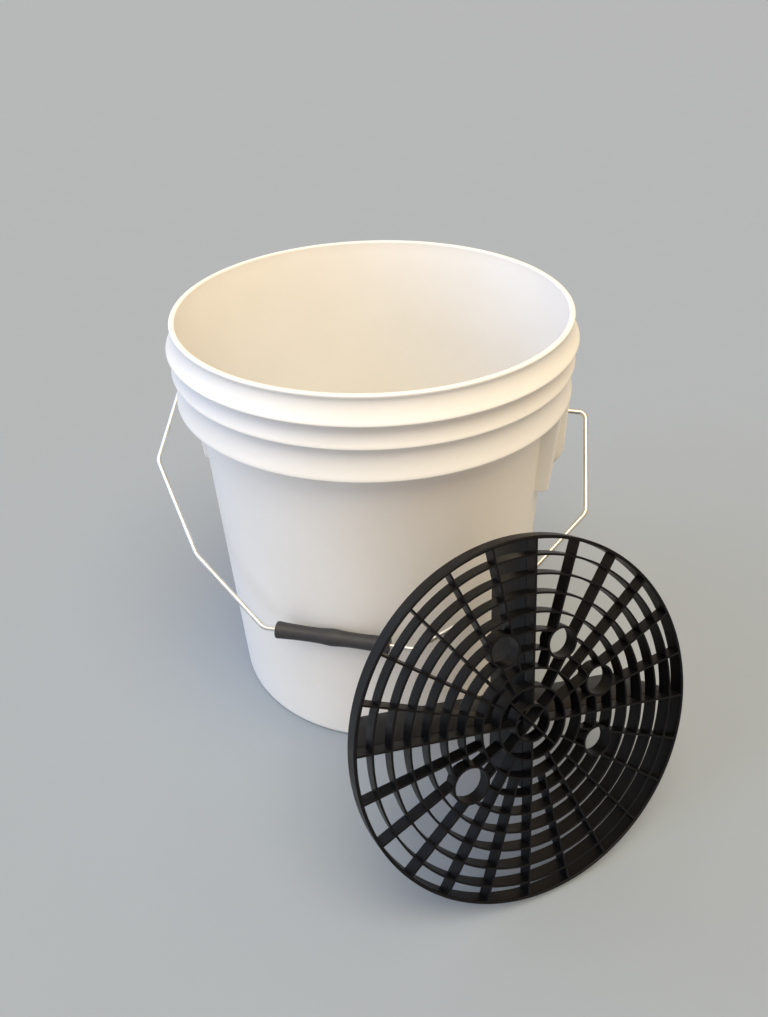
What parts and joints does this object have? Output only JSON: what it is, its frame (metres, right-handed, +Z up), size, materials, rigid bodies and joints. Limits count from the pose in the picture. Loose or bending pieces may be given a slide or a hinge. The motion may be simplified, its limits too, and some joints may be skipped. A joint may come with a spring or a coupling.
{
  "type": "wash bucket",
  "caption": "Open pail with skirted rim, wire bail and rolling hand grip, with a round grated grit guard with vanes and finger holes leaning on the floor in front.",
  "frame": {"origin": "centre of the pail's foot ring, on the floor it stands on", "axes": "+Z up along the pail's axis, -Y to the front, where the bail rests and the guard leans, +X to the right seen from the front"},
  "size_m": [0.4039, 0.4539, 0.338],
  "materials": {
    "pail_plastic": "satin moulded polyethylene, warm white",
    "zinc_wire": "zinc plated drawn wire, semi-bright",
    "grip_plastic": "satin moulded plastic, dark grey",
    "guard_plastic": "satin moulded plastic, black"
  },
  "bodies": {
    "pail": {"pail_base": "pail_plastic", "foot_ring": "pail_plastic", "pail_wall": "pail_plastic", "pail_neck": "pail_plastic", "skirt_ring_1": "pail_plastic", "skirt_ring_2": "pail_plastic", "skirt_ring_3": "pail_plastic", "ear_right": "pail_plastic", "ear_left": "pail_plastic"},
    "bail": {"bail_wire": "zinc_wire"},
    "grip": {"hand_grip": "grip_plastic"},
    "guard": {"guard_rim": "guard_plastic", "guard_rings": "guard_plastic", "guard_spokes": "guard_plastic", "finger_tubes": "guard_plastic", "thumb_tube": "guard_plastic", "guard_vane_1": "guard_plastic", "guard_vane_2": "guard_plastic", "guard_vane_3": "guard_plastic", "guard_vane_4": "guard_plastic"}
  },
  "joints": [
    {"name": "bail_swing", "type": "hinge", "parent": "pail", "child": "bail", "pos_m": [0, 0, 0.2605], "axis": [-0.9694, 0.2453, 0], "range_deg": [0, 267.2]},
    {"name": "grip_spin", "type": "hinge", "parent": "bail", "child": "grip", "pos_m": [-0.03868, -0.13653, 0.12495], "axis": [0.9694, -0.2453, 0], "continuous": true},
    {"name": "guard_slide", "type": "slide", "parent": "pail", "child": "guard", "axis": [0.4099, -0.9121, 0], "range_m": [0, 0.61]}
  ],
  "couplings": [
    {"joint": "guard_slide", "follows": "bail_swing", "m_per_rad": 0.13}
  ]
}
